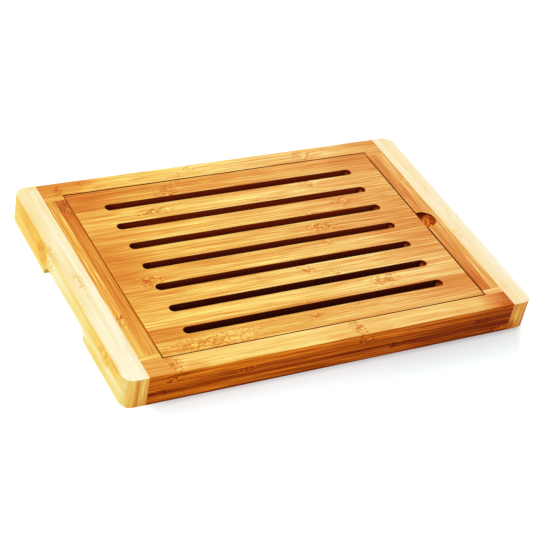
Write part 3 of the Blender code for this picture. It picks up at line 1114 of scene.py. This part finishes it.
# The scoop's end grain and a bamboo node, with painted shadow in a crescent along the top of its far
# wall and a small painted pale spot
SCOOP_WITH_PAINTED_SHADE = bamboo(
    "bamboo_scoop_painted_shade", seed=71, face=SCOOP, side=SCOOP, end=SCOOP, tone=0.20, side_tone=0.20, end_tone=0.20,
    grain="Y", bands=0.1, stripes=0.2, streaks=0.2, fibres=0.2, layers=0.2, gloss=SIDE_GLOSS, sheen_paint=0,
    shades=SCOOP_PAINTED_SHADE, side_shades=SCOOP_PAINTED_SHADE, end_shades=SCOOP_PAINTED_SHADE,
    knots=[knot(1, 170, 8, 6, 0.6)],
    patches=[
        patch(1.3, along=(9, 9.5), across=(170, 12), up=(30.2, 1.9)),
        patch(-0.12, along=(4, 4), across=(168, 4)),
    ],
)


def stile_strip(node, scoop, groove, seed):
    end, _, part, _ = node.split("_")
    sides = {"front": WHOLE, "back": WHOLE}
    sides[end] = WHOLE if part == "ledge" else HALF
    if part == "outer":
        sides[OPPOSITE[end]] = HALF
    low, high = grown(node, **sides)
    bm = block(low, high)
    tools = []
    if part == "ledge":
        tools.append(groove)
    if end == "right":
        tools.append(scoop)
    if tools:
        bm = cut(bm, tools)
    opening_x = OPENING_X if end == "right" else -OPENING_X

    def rim(a, b):
        """The opening's edge and the scoop's rim, but no edge that lies in a joint."""
        if not (near(a.z, HEIGHT) and near(b.z, HEIGHT)):
            return False
        if near(a.x, b.x):
            return part == "inner" and near(a.x, opening_x)
        return not near(a.y, b.y) and abs(a.y) < SCOOP_RADIUS

    if part != "ledge":
        ease(bm, RIM_RADIUS, rim)
    tone, shades, knots = STILES[node]
    material = bamboo("bamboo_" + node, seed, tone=tone, shades=shades, knots=knots, **STILE_LOOKS)
    face_materials = [(opening_wall, OPENING_WALLS[end]), (scoop_face, SCOOP_WITH_PAINTED_SHADE)]
    piece(bm, node.replace("_strip", "_bamboo"), [node], "frame", material, face_materials)


def stiles(scoop, groove):
    for step, node in enumerate(STILES):
        stile_strip(node, scoop, groove, STILE_SEED + step * STILE_SEED_STEP)


# End caps


CAP_LOOKS = dict(
    face=CAP_FACE, side=CAP_SIDE, end=CAP_END, grain="Y", gloss=SIDE_GLOSS, sheen_paint=0,
    clouds=0.28, bands=0.20, stripes=0.08, streaks=0.22, fibres=0.22, layers=0.30,
    dashes=0.30, ink=CAP_INK, knot_tone=0.15, level_blend=(0.15, 0.60),
)
CAPS = {
    "end_cap_left_outer_strip": dict(
        tone=0.60,
        side_tone=0.28,
        end_tone=0.36,
        layers=0.14,
        fibres=0.12,
        streaks=0.16,
        dashes=0.12,
        shades=[("across", -190, -187, -0.14), ("along", 0, -100, -0.66)],
        side_shades=[("along", 42.5, 45.5, 0.34), ("up", 3, 0, -0.35)],
        end_shades=[("across", -189.5, -192.5, -0.30), ("across", -188.8, -187.9, 0.55)],
        knots=[
            knot(-3, -190.5, 15, 3, 1.9),
            knot(-22, -190, 12, 2, 0.6),
            knot(54, -200, 12, 4, 1.5, up=(18, 11)),
            knot(38, -198, 14, 3, 0.9),
            knot(-90, -200, 14, 4, 0.9, up=(20, 8)),
        ],
        patches=[
            patch(0.44, along=(-84, 42), across=(-200, 4), up=(24, 9)),
            patch(0.34, along=(80, 36), across=(-200, 4), up=(22, 10)),
            patch(0.30, along=(56, 14), across=(-200, 4), up=(18, 11)),
            patch(0.12, along=(-133.5, 8), across=(-189.8, 0.7)),
            patch(0.40, along=(36, 24), across=(-199.5, 3), up=(30, 5)),
            patch(0.40, along=(-112, 12), across=(-199.5, 3), up=(30, 5)),
            patch(-0.24, along=(96, 60), across=(-200, 12), up=(-4, 9)),
            patch(-0.40, along=(136, 14), across=(-196, 12), up=(8, 18)),
            patch(-0.30, along=(-4, 56), across=(-200, 8), up=(13, 10)),
        ],
    ),
    "end_cap_left_inner_strip": dict(
        tone=0.26,
        end_tone=0.20,
        shades=[("along", 70, 110, 0.18), ("along", 124, 133, 0.60), ("along", -60, -110, -0.24)],
        end_shades=[("across", -187.0, -187.6, 0.45)],
        knots=[knot(-6, -187, 14, 2)],
    ),
    "end_cap_right_outer_strip": dict(
        face=CAP_BLUSH,
        tone=0.40,
        side_tone=0.44,
        end_tone=0.43,
        # Painted highlight: the top pales towards its outer edge
        shades=[("across", 194, 200, -0.45), ("along", 50, 100, 0.16)],
        side_shades=[("up", 5, 0, -0.30)],
        # Painted shade: the ends darken round the outer rounded corner
        end_shades=[("across", 191.5, 195, 0.70), ("across", 188.8, 187.9, 0.20), ("up", 14, 0, 0.15)],
        knots=[
            knot(46, 191, 9, 3), knot(78, 195, 8, 3, 0.8),
            knot(3, 194, 7, 3, 0.8), knot(-60, 200, 14, 9, 0.8, up=(16, 9)),
        ],
    ),
    "end_cap_right_inner_strip": dict(
        face=CAP_BLUSH,
        tone=0.47,
        shades=[("along", -30, 60, -0.30)],
        end_tone=0.30,
        end_shades=[("across", 185, 181, 0.16), ("up", 16, 0, 0.30)],
        knots=[knot(-26, 183.5, 10, 4, 1.2)],
        patches=[patch(0.50, along=(-133, 8), across=(182, 5), up=(4, 8))],
    ),
}
# Painted light on the grip's end walls, standing for light from the floor below, with painted shade
# darkening them towards their tops
GRIP_WALL_LIGHT = bamboo(
    "bamboo_grip_wall_painted_light", seed=77, face=GRIP_LIGHT_PAINT, side=GRIP_LIGHT_PAINT, end=GRIP_LIGHT_PAINT, grain="Y",
    tone=-0.1, side_tone=-0.1, end_tone=-0.1, streaks=0.15, layers=0.15, gloss=SIDE_GLOSS, sheen_paint=0,
    shades=[("up", 3, 8, 0.4)], side_shades=[("up", 3, 8, 0.4)], end_shades=[("up", 3, 8, 0.4)],
)


def grip_wall(centre, normal):
    """The two ends of the hand grip, up to their rounded tops."""
    inset = GRIP_LENGTH / 2 - abs(centre.y)
    at_end = -RIM_RADIUS < inset < GRIP_RADIUS
    return at_end and centre.z < GRIP_HEIGHT and abs(normal.x) < END_WALL_BELOW


def upright_at(x):
    return lambda a, b: near(a.x, x) and near(b.x, x) and near(a.y, b.y)


def cap_strip(node, grip, bores, seed):
    end, part = node.split("_")[2:4]
    if part == "outer":
        low, high = grown(node, **{OPPOSITE[end]: HALF})
    else:
        low, high = grown(node, left=HALF, right=HALF)
    bm = block(low, high)
    joints = [low.x, high.x]
    if part == "outer":
        outer_x = high.x if end == "right" else low.x
        joints.remove(outer_x)
        ease(bm, CORNER_RADIUS, upright_at(outer_x), CORNER_STEPS)
    bm = cut(bm, [grip] + bores)

    def exposed(a, b):
        in_joint = any(near(a.x, x) and near(b.x, x) for x in joints)
        off_middle = max(abs(a.z - HEIGHT / 2), abs(b.z - HEIGHT / 2))
        in_bore = off_middle < DOWEL_REACH and abs(a.y) > GRIP_LENGTH
        return not in_joint and not in_bore

    ease(bm, CAP_EDGE_RADIUS, exposed)
    material = bamboo("bamboo_" + node, seed, **{**CAP_LOOKS, **CAPS[node]})
    face_materials = [(grip_wall, GRIP_WALL_LIGHT)]
    piece(bm, node.replace("_strip", "_bamboo"), [node], "frame", material, face_materials)


def end_caps(grip, bores):
    for step, node in enumerate(CAPS):
        cap_strip(node, grip, bores, CAP_SEED + step * CAP_SEED_STEP)


# Hidden pieces


def tray_floor():
    node = "crumb_tray_floor"
    low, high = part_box(node)
    bm = block(low, high)
    ease(bm, RIM_RADIUS, lambda a, b: True)
    material = bamboo(
        "bamboo_tray_floor", seed=95, tone=0.85, side_tone=0.5, sheen_paint=0,
        knots=[knot(-60, 20, 9, 40), knot(70, -50, 9, 40)],
    )
    piece(bm, "tray_floor", [node], "frame", material)


def dowels():
    """The dowels keep their solids and get a pale wood finish."""
    material = bamboo(
        "dowel_wood", seed=99, face=CAP_FACE, side=CAP_FACE, end=CAP_SIDE, tone=0.5, side_tone=0.5
    )
    for name, node in frame["nodes"].items():
        if name.startswith("dowel"):
            node.data.materials.clear()
            node.data.materials.append(material)


# Studio


def floor():
    """A white floor that keeps the shadow, with painted shadow and light in its glow, and lights the
    board's sides from below.
    """
    bm = bmesh.new()
    bmesh.ops.create_grid(bm, x_segments=1, y_segments=1, size=FLOOR_SIZE / 2)
    made = as_object(bm, "studio_floor")
    made.location.z = FLOOR_LEVEL
    material = bpy.data.materials.new("studio_floor")
    material.use_nodes = True
    tree = material.node_tree
    tree.nodes.remove(tree.nodes["Principled BSDF"])
    graph = Graph(tree)
    out = tree.nodes["Material Output"]
    seen = seen_rays(graph)
    shade = graph.add("ShaderNodeBsdfDiffuse")
    shade.inputs["Color"].default_value = rgba(FLOOR_SHADE)
    glow = graph.add("ShaderNodeEmission")
    graph.plug(glow.inputs["Strength"], floor_glow(graph))
    shown = graph.add("ShaderNodeAddShader")
    tree.links.new(shade.outputs[0], shown.inputs[0])
    tree.links.new(glow.outputs[0], shown.inputs[1])
    bounce = graph.add("ShaderNodeBsdfDiffuse")
    bounce.inputs["Color"].default_value = rgba((FLOOR_BOUNCE,) * 3)
    pick = graph.add("ShaderNodeMixShader")
    graph.plug(pick.inputs[0], seen)
    tree.links.new(bounce.outputs[0], pick.inputs[1])
    tree.links.new(shown.outputs[0], pick.inputs[2])
    tree.links.new(pick.outputs[0], out.inputs["Surface"])
    made.data.materials.append(material)


def floor_glow(graph):
    """The floor's glow for the camera: a painted shadow before the front, painted light at the left."""
    x, y, _ = graph.split(graph.add("ShaderNodeTexCoord").outputs["Object"])
    away = graph.math("MULTIPLY_ADD", y, -1.0, -HALF_DEPTH)
    beside = graph.math("MULTIPLY_ADD", away, SHADOW_LEAN, x)
    # Painted shadow: the strip before the front, where the floor's glow is lowered
    strip = graph.ramp(away, *SHADOW_START)
    strip = graph.math("MULTIPLY", strip, graph.ramp(away, *SHADOW_END))
    strip = graph.math("MULTIPLY", strip, graph.ramp(beside, *SHADOW_LEFT))
    strip = graph.math("MULTIPLY", strip, graph.ramp(beside, *SHADOW_RIGHT))
    # Painted light: the open floor glows brighter at the board's left
    open_floor = graph.ramp(x, *FLOOR_PAINTED_LIGHT_LEFT_SPAN, FLOOR_GLOW, FLOOR_PAINTED_LIGHT_LEFT)
    in_strip = graph.ramp(beside, *SHADOW_GLOW_SPAN, *SHADOW_GLOW)
    # Painted shadow, deepest right at the front's foot
    at_foot = graph.ramp(away, *FOOT_SHADE_SPAN, FOOT_SHADE, 0.0)
    in_strip = graph.math("SUBTRACT", in_strip, at_foot)
    return graph.math("MULTIPLY_ADD", strip, graph.math("SUBTRACT", in_strip, open_floor), open_floor)


def seen_rays(graph):
    """One for the rays that show the backdrop: camera, mirror and glass rays."""
    path = graph.add("ShaderNodeLightPath")
    rays = graph.math("MAXIMUM", path.outputs["Is Camera Ray"], path.outputs["Is Glossy Ray"])
    return graph.math("MAXIMUM", rays, path.outputs["Is Transmission Ray"])


def sky():
    world = bpy.data.worlds.new("studio")
    bpy.context.scene.world = world
    world.use_nodes = True
    graph = Graph(world.node_tree)
    background = world.node_tree.nodes["Background"]
    background.inputs["Color"].default_value = rgba((1, 1, 1))
    strength = graph.math("MULTIPLY_ADD", seen_rays(graph), 1 - SKY_LEVEL, SKY_LEVEL)
    graph.plug(background.inputs["Strength"], strength)


def area_light(name, place, size, power):
    data = bpy.data.lights.new(name, "AREA")
    data.shape = "SQUARE"
    data.size = size
    data.energy = power
    made = bpy.data.objects.new(name, data)
    made.location = place
    made.rotation_euler = (-place).to_track_quat("-Z", "Y").to_euler()
    bpy.context.scene.collection.objects.link(made)


def camera():
    data = bpy.data.cameras.new("camera")
    data.sensor_width = CAMERA_SENSOR
    data.lens = CAMERA_LENS
    data.clip_start = CAMERA_NEAR
    made = bpy.data.objects.new("camera", data)
    forward = CAMERA_FORWARD.normalized()
    level_right = forward.cross(Vector((0, 0, 1))).normalized()
    level_up = level_right.cross(forward)
    turn = Matrix.Rotation(-CAMERA_ROLL, 3, forward)
    right, up = turn @ level_right, turn @ level_up
    axes = Matrix((right, up, -forward)).transposed().to_4x4()
    made.matrix_world = Matrix.Translation(CAMERA_AIM - forward * CAMERA_DISTANCE) @ axes
    bpy.context.scene.collection.objects.link(made)
    bpy.context.scene.camera = made


def build():
    scoop, grip, groove, opening = scoop_tool(), grip_tool(), groove_tool(), opening_tool()
    bores = [bore_tool(name) for name in sorted(frame["nodes"]) if name.startswith("dowel")]
    end_caps(grip, bores)
    stiles(scoop, groove)
    rails(bores, opening, groove)
    insert()
    tray_floor()
    dowels()
    for tool in [scoop, grip, groove, opening] + bores:
        bpy.data.objects.remove(tool)
    floor()
    sky()
    area_light("key", KEY_PLACE, KEY_SIZE, KEY_POWER)
    camera()
    bpy.context.scene.view_settings.view_transform = "Standard"


build()
